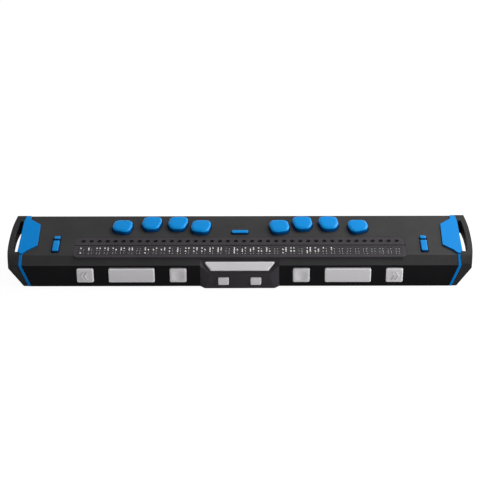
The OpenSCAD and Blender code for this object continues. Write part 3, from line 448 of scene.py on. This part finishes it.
# a slab with rounded corners, drawn up from base and drawn in over its top edge
def softSlab(bm, place, corners, corner, base, top, edge=(0, 0), rings=5, crown=0.0):
    before, faces = set(bm.verts), set(bm.faces)
    ring = [bm.verts.new((x * mm, y * mm, base * mm)) for x, y in corners]
    bm.faces.new(ring)
    points = [Vector(p) for p in corners]
    for i, v in enumerate(ring):
        last, here, after = points[i - 1], points[i], points[(i + 1) % len(points)]
        bend = (last - here).angle(after - here)
        roundOff(bm, [v], corner / tan(bend / 2), meshLook["cornerSteps"], "VERTICES")
    sheet = [f for f in bm.faces if f not in faces]
    lid = drawUp(bm, sheet, top - edge[1] - base)[1]
    middle, size = spanOf(corners)
    inset, rise = 0.0, 0.0
    for k in range(1, rings + 1 if edge[0] > 0 else 1):
        turn = pi / 2 * k / rings
        newInset, newRise = edge[0] * (1 - cos(turn)), edge[1] * sin(turn)
        if edge[0] < meshLook["wide"] * corner:
            bmesh.ops.inset_region(bm, faces=lid, thickness=(newInset - inset) * mm, depth=(newRise - rise) * mm,
                                   use_even_offset=True, use_boundary=True)
        else:  # a wide edge on tight corners: every ring is a smaller copy of the last
            lifted, newLid = drawUp(bm, lid, newRise - rise)
            bmesh.ops.delete(bm, geom=lid, context="FACES_ONLY")
            lid = newLid
            shrink = [(side - 2 * newInset) / (side - 2 * inset) for side in size]
            bmesh.ops.scale(bm, verts=lifted, vec=(*shrink, 1), space=Matrix.Translation(-middle * mm))
        inset, rise = newInset, newRise
    if crown:
        bmesh.ops.poke(bm, faces=lid, offset=crown * mm)
    bmesh.ops.recalc_face_normals(bm, faces=[f for f in bm.faces if f not in faces])
    bmesh.ops.transform(bm, matrix=place, verts=islandVerts(bm, before))
    return lid


def rod(bm, place, radius, low, high, sides=32):
    middle = place @ moved(0, 0, (low + high) / 2)
    bmesh.ops.create_cone(bm, cap_ends=True, segments=sides, radius1=radius * mm, radius2=radius * mm,
                          depth=(high - low) * mm, matrix=middle)


def spun(bm, place, profile, steps=40):  # a profile of (radius, height) turned about its own axis
    before, faces = set(bm.verts), set(bm.faces)
    line = [bm.verts.new((r * mm, 0, h * mm)) for r, h in profile]
    edges = [bm.edges.new(pair) for pair in zip(line, line[1:])]
    bmesh.ops.spin(bm, geom=line + edges, cent=(0, 0, 0), axis=(0, 0, 1), angle=2 * pi, steps=steps, use_merge=True)
    bmesh.ops.remove_doubles(bm, verts=islandVerts(bm, before), dist=meshLook["weldMade"])
    bmesh.ops.recalc_face_normals(bm, faces=[f for f in bm.faces if f not in faces])
    bmesh.ops.transform(bm, matrix=place, verts=islandVerts(bm, before))


def boxCorners(width, height):
    w, h = width / 2, height / 2
    return [(-w, -h), (w, -h), (w, h), (-w, h)]


def grown(corners, reach):  # the same outline with every side moved out
    points = [Vector(p) for p in corners]
    out = []
    for i, here in enumerate(points):
        u = (points[i - 1] - here).normalized()
        w = (points[(i + 1) % len(points)] - here).normalized()
        out.append(here - (u + w).normalized() * (reach / sin(u.angle(w) / 2)))
    return [tuple(p) for p in out]


def moved(x, y, z):  # a place by its shift, in mm
    return Matrix.Translation((x * mm, y * mm, z * mm))


def onDeck(x, y):
    return moved(x, y, level["deck"])


def onFront(x, z, y=level["front"]):
    return moved(x, y, z) @ Matrix.Rotation(pi / 2, 4, "X")


def middleOf(node):
    low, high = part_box(node)
    return (low + high) / 2 / mm


# shells: merged copies of the mouldings with their visible edges rounded off
shellLook = {
    "deckEdge": 0.2, "jointEdge": 0.3, "frontEdge": 0.18, "noseEdge": 0.4, "capEdge": 0.35, "trimEdge": 0.22,
    "flat": 0.5, "steps": 2, "touch": 0.01, "capRidge": 2.5, "trimRise": 0.9, "trimFront": -34.0,
}
noseLook = {
    "front": -37.2, "top": 13.83, "reach": 3.4, "depth": 5.3, "halfWide": 30.8, "close": 0.16,
    "frontTouch": 0.02, "slopeTouch": 0.03, "ridge": 3.0,
}


def softShell(name, node, width, pick, finishName=None, sharp=20):
    bm = bmesh.new()
    bm.from_mesh(nodes[node].data)
    bmesh.ops.remove_doubles(bm, verts=bm.verts[:], dist=meshLook["weldRead"])
    bmesh.ops.dissolve_limit(bm, angle_limit=radians(shellLook["flat"]), verts=bm.verts[:], edges=bm.edges[:])
    ridges = []
    for e in bm.edges:
        if e.is_manifold and e.is_convex and e.calc_face_angle(0) > radians(sharp):
            if pick(e.verts[0].co / mm, e.verts[1].co / mm):
                ridges.append(e)
    roundOff(bm, ridges, width, shellLook["steps"])
    bmesh.ops.dissolve_degenerate(bm, dist=meshLook["weldMade"], edges=bm.edges[:])
    print("  ", name, len(ridges), "edges rounded")
    return addPiece(name, bm, node, finishName, even=True)


def near(a, b, value, axis):
    return all(abs(p[axis] - value) < shellLook["touch"] for p in (a, b))


def deckRidge(a, b):
    return near(a, b, level["deck"], 2)


def coverRidge(a, b):
    return deckRidge(a, b) or near(a, b, level["rear"], 1)


def caseRidge(a, b):  # on the floor, or round the rear wall but not round its holes
    low, high = min(a[2], b[2]), max(a[2], b[2])
    hole = low > level["floor"] + shellLook["touch"] and high < level["joint"] - shellLook["touch"]
    return near(a, b, level["floor"], 2) or (near(a, b, level["rear"], 1) and not hole)


def frontRidge(a, b):
    return near(a, b, level["front"], 1)


def onNoseSkin(p):  # on the nose's front or its slope
    ahead = p[1] - noseLook["front"]
    above = p[2] - noseLook["top"] - ahead
    return abs(ahead) < noseLook["frontTouch"] or abs(above) < noseLook["slopeTouch"]


def noseRidge(a, b):
    return onNoseSkin(a) and onNoseSkin(b) and (a - b).length > noseLook["ridge"]


def capRidge(a, b):
    return (a - b).length > shellLook["capRidge"]


def trimRidge(a, b):  # round the panel on the deck, or at the front
    return min(a[2], b[2]) > level["deck"] + shellLook["trimRise"] or min(a[1], b[1]) < shellLook["trimFront"]


softShell("deckCover", "top_cover", shellLook["deckEdge"], coverRidge)
softShell("lowerCase", "bottom_case", shellLook["jointEdge"], caseRidge)
softShell("frontPanel", "front_fascia", shellLook["frontEdge"], frontRidge)
softShell("cellFrame", "cell_bezel", shellLook["deckEdge"], deckRidge)
noseCover = softShell("noseCover", "nose_housing", shellLook["noseEdge"], noseRidge, "nose_plastic", sharp=12)
for v in noseCover.data.vertices:  # its ends close up to the front panel
    if abs(v.co.x) > noseLook["halfWide"] * mm:
        v.co.x += noseLook["close"] * mm if v.co.x > 0 else -noseLook["close"] * mm
for side in ("left", "right"):
    softShell(side + "EndCap", side + "_end_cap", shellLook["capEdge"], capRidge, sharp=25)
    softShell(side + "TrimBand", side + "_trim", shellLook["trimEdge"], trimRidge, sharp=30)
print("shells done")


# typing keys: pillow tops on a six-sided outline, turned over for the right hand
typingKey = {
    "width": 16.4, "depth": 20.2, "corner": 4.8, "proud": 3.4, "pillow": (2.6, 1.3), "rings": 8, "crown": 0.05,
    "straight": [(-0.33, -0.47), (0.3, -0.5), (0.5, 0.07), (0.46, 0.5), (-0.4, 0.5), (-0.5, -0.08)],
    "slanted": [(-0.42, -0.27), (0.33, -0.5), (0.5, 0.07), (0.46, 0.5), (-0.4, 0.5), (-0.5, 0.02)],
    "eased": [(-0.42, -0.36), (0.33, -0.5), (0.5, 0.07), (0.46, 0.5), (-0.4, 0.5), (-0.5, -0.03)],
    "columns": (31.6, 50.3, 71.4, 94.9), "rows": (15.9, 21.6, 21.6, 15.9),
    "fronts": ("eased", "straight", "straight", "slanted"),
    "left": ("dot_1_key", "dot_2_key", "dot_3_key", "dot_7_key"),
    "right": ("dot_4_key", "dot_5_key", "dot_6_key", "dot_8_key"),
    "skirt": 0.75, "skirtThick": 1.2, "stem": 2.2, "stemLong": 0.6,
}


def buildTypingKeys(look):
    skirtBase = under - look["skirtThick"]
    for hand, turn in (("left", 1), ("right", -1)):
        for node, x, y, front in zip(look[hand], look["columns"], look["rows"], look["fronts"]):
            corners = [(turn * u * look["width"], v * look["depth"]) for u, v in look[front]]
            corners = corners if turn > 0 else corners[::-1]
            bm = bmesh.new()
            place = onDeck(-turn * x, y)
            softSlab(bm, place, corners, look["corner"], under, look["proud"], look["pillow"], look["rings"],
                     look["crown"])
            softSlab(bm, place, grown(corners, look["skirt"]), look["corner"] + look["skirt"], skirtBase, under)
            rod(bm, place, look["stem"], skirtBase - look["stemLong"], skirtBase)
            addPiece("typing_" + node, bm, node)


buildTypingKeys(typingKey)
print("typing keys done")


# small top buttons and reading rockers
smallKey = {
    "menu": (13.6, 4.7), "mode": (5.5, 5.2), "nav": (5.5, 16.8), "corner": 1.6, "proud": 1.5,
    "edge": 1.1, "menuEdge": 0.75, "skirt": 0.6, "skirtCorner": 1.4, "skirtThick": 1.2,
    "stem": 1.5, "stemLong": 0.6, "navSunk": 0.3, "pivotDown": 2.7, "barrel": 1.5, "barrelIn": 0.05,
    "foot": 1.3, "footIn": 2.4,
}


def buildSmallKeys(look):
    skirtBase = under - look["skirtThick"]
    stemEnd = skirtBase - look["stemLong"]
    flat = (("menu_button", "menu"), ("left_mode_button", "mode"), ("right_mode_button", "mode"))
    for node, kind in flat:
        bm = bmesh.new()
        middle = middleOf(node)
        place = onDeck(middle.x, middle.y)
        corners = boxCorners(*look[kind])
        edge = look["menuEdge"] if kind == "menu" else look["edge"]
        softSlab(bm, place, corners, look["corner"], under, look["proud"], (edge, edge))
        softSlab(bm, place, grown(corners, look["skirt"]), look["skirtCorner"], skirtBase, under)
        rod(bm, place, look["stem"], stemEnd, skirtBase)
        addPiece("small_" + node, bm, node, "blue_small", even=True)
    width, length = look["nav"]
    reach = width / 2 - look["barrelIn"]
    for side in ("left", "right"):
        node = side + "_nav_rocker"
        bm = bmesh.new()
        middle = middleOf(node)
        place = onDeck(middle.x, middle.y)
        softSlab(bm, place, boxCorners(width, length), look["corner"], -level["skin"] - look["navSunk"],
                 look["proud"], (look["edge"], look["edge"]))
        axle = place @ moved(0, 0, -look["pivotDown"]) @ Matrix.Rotation(pi / 2, 4, "Y")
        rod(bm, axle, look["barrel"], -reach, reach)
        for s in (-1, 1):
            foot = place @ moved(0, s * (length / 2 - look["footIn"]), 0)
            rod(bm, foot, look["foot"], stemEnd, -level["skin"])
        addPiece(side + "ReadingRocker", bm, node, "blue_small", even=True)


buildSmallKeys(smallKey)
print("small keys done")


# front keys: square buttons, long rockers and the two small keys on the nose
frontKey = {
    "height": 12.4, "square": 13.2, "bar": 36.2, "corner": 1.2, "proud": 1.4, "edge": (1.1, 0.9),
    "row": 11.6, "panAt": 121.5, "barAt": 85.0, "selectAt": 48.4,
    "skirt": 0.6, "skirtCorner": 1.5, "skirtThick": 1.2, "stem": 2.0, "stemLong": 0.6,
    "dish": 4.9, "dishDeep": 1.3, "dishRings": 6,
    "chevron": 0.65, "chevronRoot": 0.3, "chevronRound": 0.4, "chevronSteps": 3,
    "chevronTall": 3.7, "chevronArm": 1.3, "chevronReach": 2.3, "chevronAt": (-2.6, 0.2),
    "pivotIn": 3.0, "barUp": 0.4, "barrel": 1.7, "barrelIn": 1.0, "foot": 1.3, "footIn": 2.35, "footLong": 2.0,
    "shift": (8.4, 6.7), "shiftAt": (12.7, 8.05), "shiftCorner": 1.0, "shiftProud": 1.0, "shiftEdge": (1.0, 0.7),
    "shiftStem": 1.5, "shiftSkirtTop": 0.3,
}


def skirtAndStem(bm, place, look, width, low, high, stem, stemEnd):
    skirtBase = under - look["skirtThick"]
    w = width / 2 + look["skirt"]
    softSlab(bm, place, [(-w, low), (w, low), (w, high), (-w, high)], look["skirtCorner"], skirtBase, under)
    rod(bm, place, stem, stemEnd, skirtBase)


def squareCap(bm, place, look):  # gives its flat top
    corners = boxCorners(look["square"], look["height"])
    return softSlab(bm, place, corners, look["corner"], under, look["proud"], look["edge"])


def squareSkirt(bm, place, look):
    half = look["height"] / 2
    stemEnd = under - look["skirtThick"] - look["stemLong"]
    skirtAndStem(bm, place, look, look["square"], -half - look["skirt"], half, look["stem"], stemEnd)


def chevrons(bm, place, look, turn):  # two raised arrowheads that point outward
    tall, arm, reach = look["chevronTall"], look["chevronArm"], look["chevronReach"]
    base = look["proud"] - look["chevronRoot"]
    for x in look["chevronAt"]:
        shape = [(x, -tall), (x + arm, -tall), (x + arm + reach, 0), (x + arm, tall), (x, tall), (x + reach, 0)]
        before, faces = set(bm.verts), set(bm.faces)
        ring = [bm.verts.new((turn * px * mm, py * mm, base * mm)) for px, py in shape]
        sheet = bm.faces.new(ring if turn > 0 else ring[::-1])
        lid = drawUp(bm, [sheet], look["chevronRoot"] + look["chevron"])[1]
        roundOff(bm, lid[0].edges[:], look["chevronRound"], look["chevronSteps"])
        bmesh.ops.recalc_face_normals(bm, faces=[f for f in bm.faces if f not in faces])
        bmesh.ops.transform(bm, matrix=place, verts=islandVerts(bm, before))


def fingerDish(bm, place, look, lid):  # a round hollow let into the flat top
    rim = lid[0].edges[:]
    bmesh.ops.delete(bm, geom=lid, context="FACES_ONLY")
    ball = (look["dish"] ** 2 + look["dishDeep"] ** 2) / (2 * look["dishDeep"])
    bottom = look["proud"] - look["dishDeep"]
    reach = [look["dish"] * k / look["dishRings"] for k in range(look["dishRings"] + 1)]
    before = set(bm.edges)
    spun(bm, place, [(r, bottom + ball - (ball ** 2 - r ** 2) ** 0.5) for r in reach])
    hoop = [e for e in bm.edges if e not in before and e.is_boundary]
    bmesh.ops.triangle_fill(bm, use_beauty=True, use_dissolve=True, edges=rim + hoop)
    bmesh.ops.recalc_face_normals(bm, faces=bm.faces[:])


def panningButton(look, side, turn):
    bm = bmesh.new()
    place = onFront(turn * look["panAt"], look["row"])
    squareCap(bm, place, look)
    squareSkirt(bm, place, look)
    chevrons(bm, place, look, turn)
    addPiece(side + "PanningButton", bm, side + "_panning_button", even=True)


def selectorButton(look, side, turn):
    bm = bmesh.new()
    place = onFront(turn * look["selectAt"], look["row"])
    fingerDish(bm, place, look, squareCap(bm, place, look))
    squareSkirt(bm, place, look)
    addPiece(side + "SelectorButton", bm, side + "_selector_button", "grey_dish")


def rockerBar(look, side, turn):
    bm = bmesh.new()
    place = onFront(turn * look["barAt"], look["row"])
    softSlab(bm, place, boxCorners(look["bar"], look["height"]), look["corner"], look["barUp"] - look["pivotIn"],
             look["proud"], look["edge"])
    axle = place @ moved(0, 0, -look["pivotIn"]) @ Matrix.Rotation(pi / 2, 4, "Y")
    reach = look["bar"] / 2 - look["barrelIn"]
    rod(bm, axle, look["barrel"], -reach, reach)
    footEnd = under - look["skirtThick"] - look["stemLong"]
    for sx in (-1, 1):
        for sy in (-1, 1):
            foot = place @ moved(sx * look["bar"] / 4, sy * (look["height"] / 2 - look["footIn"]), 0)
            rod(bm, foot, look["foot"], footEnd, footEnd + look["footLong"])
    addPiece(side + "RockerBar", bm, side + "_rocker_bar", even=True)


def shiftKey(look, side, turn):
    bm = bmesh.new()
    place = onFront(turn * look["shiftAt"][0], look["shiftAt"][1], noseLook["front"])
    width, height = look["shift"]
    softSlab(bm, place, boxCorners(width, height), look["shiftCorner"], under, look["shiftProud"], look["shiftEdge"])
    stemEnd = under - look["skirtThick"] - look["stemLong"] - noseLook["reach"]
    skirtAndStem(bm, place, look, width, -height / 2 - look["skirt"], height / 2 + look["shiftSkirtTop"],
                 look["shiftStem"], stemEnd)
    addPiece(side + "ShiftKey", bm, side + "_shift_key", even=True)


for side, turn in (("left", -1), ("right", 1)):
    for build in (panningButton, selectorButton, rockerBar, shiftKey):
        build(frontKey, side, turn)
print("front keys done")


# space bar on the nose's slope
spaceBar = {
    "rear": 56.4, "deep": 7.2, "taper": 5.5, "corner": 1.0, "proud": 1.2, "edge": (1.55, 0.9), "margin": 1.9,
    "skirt": 0.6, "skirtCorner": 1.0, "skirtThick": 1.2, "stem": 1.6, "stemLong": 0.6,
}


def buildSpaceBar(look):
    slope = (noseLook["depth"] + noseLook["reach"]) * 2 ** 0.5
    start = slope - look["margin"] - look["deep"]
    half = look["rear"] / 2
    corners = [(-half + look["taper"], start), (half - look["taper"], start),
               (half, start + look["deep"]), (-half, start + look["deep"])]
    place = moved(0, noseLook["front"], noseLook["top"]) @ Matrix.Rotation(pi / 4, 4, "X")
    skirtBase = under - look["skirtThick"]
    bm = bmesh.new()
    softSlab(bm, place, corners, look["corner"], under, look["proud"], look["edge"])
    skirt = grown(corners, look["skirt"])
    skirt[0], skirt[1] = (skirt[0][0], start), (skirt[1][0], start)
    softSlab(bm, place, skirt, look["skirtCorner"], skirtBase, under)
    for s in (-1, 1):
        stem = place @ moved(s * look["rear"] / 4, start + look["deep"] / 2, 0)
        rod(bm, stem, look["stem"], skirtBase - look["stemLong"], skirtBase)
    addPiece("spaceBar", bm, "space_bar", "grey_bar_painted_light", even=True)


buildSpaceBar(spaceBar)
print("space bar done")


# cursor buttons: a row of dished studs, with the rim given by its way in and its height
# and the dish by its share of the radius and its height
cursorStud = {
    "radius": 1.6, "pitch": 6.4, "count": 40, "row": -2.8, "sides": 20,
    "stem": 0.6, "stemEnd": 1.1, "lip": 0.7, "lipThick": 0.8,
    "rim": [(0, 0.06), (0.05, 0.18), (0.15, 0.27), (0.28, 0.3), (0.42, 0.24)],
    "dish": [(0.66, 0.12), (0.45, 0.03), (0.22, -0.02), (0, -0.04)],
}


def buildCursorStuds(look):
    r = look["radius"]
    stem, lip = look["stem"] * r, r + look["lip"]
    stemEnd, lipBase = under - look["stemEnd"], under - look["lipThick"]
    profile = [(0, stemEnd), (stem, stemEnd), (stem, lipBase), (lip, lipBase), (lip, under), (r, under)]
    profile += [(r - inward, height) for inward, height in look["rim"]]
    profile += [(share * r, height) for share, height in look["dish"]]
    bm = bmesh.new()
    for k in range(look["count"]):
        place = onDeck((k - (look["count"] - 1) / 2) * look["pitch"], look["row"])
        spun(bm, place, profile, look["sides"])
    addPiece("cursorStuds", bm, "router_buttons", smooth=50)


buildCursorStuds(cursorStud)
print("cursor studs done")


# braille pins: short rods with domed tips, standing where the solids stand
brailleLook = {
    "pitch": 6.4, "cells": 40, "dot": 2.4, "lines": 4, "row": -17.8, "radius": 0.6, "sides": 12,
    "tip": 0.42, "tipSteps": 3, "touch": 0.01,
}


def buildPins(name, node, look):
    midCell, midLine = (look["cells"] - 1) / 2, (look["lines"] - 1) / 2
    spans = {}
    for v in nodes[node].data.vertices:
        x, y, z = v.co / mm
        cell = min(max(round(x / look["pitch"] + midCell), 0), look["cells"] - 1)
        column = 0 if x < (cell - midCell) * look["pitch"] else 1
        line = round(midLine - (y - look["row"]) / look["dot"])
        low, high = spans.get((cell, column, line), (z, z))
        spans[cell, column, line] = (min(low, z), max(high, z))
    bm = bmesh.new()
    for (cell, column, line), (low, high) in sorted(spans.items()):
        x = (cell - midCell) * look["pitch"] + (column - 0.5) * look["dot"]
        y = look["row"] + (midLine - line) * look["dot"]
        before = set(bm.verts)
        rod(bm, moved(x, y, 0), look["radius"], low, high, look["sides"])
        tip = [v for v in islandVerts(bm, before) if v.co.z > (high - look["touch"]) * mm]
        rim = dict.fromkeys(e for v in tip for e in v.link_edges if e.other_vert(v) in tip)
        roundOff(bm, list(rim), look["tip"], look["tipSteps"])
    addPiece(name, bm, node, smooth=60)
    print("  ", name, len(spans), "pins")


buildPins("raisedPins", "raised_dots", brailleLook)
buildPins("loweredPins", "lowered_dots", brailleLook)
print("pins done")


# silicone domes: one piece under each key
domeLook = {
    "run": 0.05, "spare": 0.02, "rockerKeep": 0.7,
    "stands": {"router_domes": (0, 0, 1), "top_key_domes": (0, 0, 1), "front_key_domes": (0, -1, 0)},
    "slope": (0, -0.70710678, 0.70710678),
}
jointOf = {joint["child"]: joint for joint in frame["record"]["behaviour"]["joints"]}
keyBox = {key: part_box(key) for key in jointOf if key.endswith(("_key", "_button", "_buttons", "_rocker", "_bar"))}


def looseParts(bm):  # the separate bodies of a mesh, in the order of their points
    seen, parts = set(), []
    for start in bm.verts:
        if start.index not in seen:
            part = front = {start}
            while front:
                front = {e.other_vert(v) for v in front for e in v.link_edges} - part
                part = part | front
            seen.update(v.index for v in part)
            parts.append(sorted(part, key=lambda v: v.index))
    return parts


def keyOver(middle, axis):  # the key whose box covers a dome, seen along the dome's axis
    across = [i for i in range(3) if abs(axis[i]) < 0.5]
    return next(key for key, (low, high) in keyBox.items() if all(low[i] < middle[i] < high[i] for i in across))


def buildDomes(look):
    for node, axis in look["stands"].items():
        bm = bmesh.new()
        bm.from_mesh(nodes[node].data)
        bmesh.ops.remove_doubles(bm, verts=bm.verts[:], dist=meshLook["weldRead"])
        bm.verts.index_update()
        groups = {}
        for part in looseParts(bm):
            middle = sum((v.co for v in part), Vector()) / len(part)
            groups.setdefault(keyOver(middle, axis), set()).update(v.index for v in part)
        for key, kept in groups.items():
            cut = bm.copy()
            bmesh.ops.delete(cut, geom=[v for v in cut.verts if v.index not in kept], context="VERTS")
            piece = addPiece("dome_" + key, cut, node, smooth=30)
            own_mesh(piece)
        bm.free()


buildDomes(domeLook)
print("domes done")


# feet with a shallow hollow in the middle
footLook = {
    "radius": 5.0, "round": 0.6, "roundSteps": 4, "height": 2.0, "hollow": 0.12, "hollowTo": (0.55, 0.62),
    "spots": [(151.5, -20.8), (151.5, 25.2)],
}


def buildFeet(look):
    r, k, steps = look["radius"], look["round"], look["roundSteps"]
    inner, outer = (share * r for share in look["hollowTo"])
    turns = [pi / 2 * t / steps for t in range(1, steps + 1)]
    profile = [(0, look["hollow"]), (inner, look["hollow"]), (outer, 0), (r - k, 0)]
    profile += [(r - k + k * sin(t), k - k * cos(t)) for t in turns]
    profile += [(r, look["height"]), (0, look["height"])]
    bm = bmesh.new()
    for x, y in look["spots"]:
        for s in (-1, 1):
            spun(bm, moved(s * x, y, 0), profile)
    addPiece("rubberFeet", bm, "rubber_feet")


buildFeet(footLook)
print("feet done")


# power button: heights run inward from its face
powerLook = {
    "radius": 2.0, "round": 0.35, "shoulder": 0.3, "crown": [(0, 0.06), (0.5, 0.02)], "neckEnd": 1.9,
    "collar": 2.6, "collarEnd": 2.9, "tip": 1.0, "tipEnd": 3.5,
}


def buildPowerButton(look):
    low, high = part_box("power_button")
    x, z = (low.x + high.x) / 2 / mm, (low.z + high.z) / 2 / mm
    r, k = look["radius"], look["round"]
    shoulder = look["shoulder"] * k
    profile = [(share * r, height) for share, height in look["crown"]]
    profile += [(r - k, 0), (r - shoulder, shoulder), (r, k), (r, look["neckEnd"]),
                (look["collar"], look["neckEnd"]), (look["collar"], look["collarEnd"]),
                (look["tip"], look["collarEnd"]), (look["tip"], look["tipEnd"]), (0, look["tipEnd"])]
    bm = bmesh.new()
    spun(bm, onFront(x, z, high.y / mm), profile)
    addPiece("powerStud", bm, "power_button")


buildPowerButton(powerLook)
print("power button done")
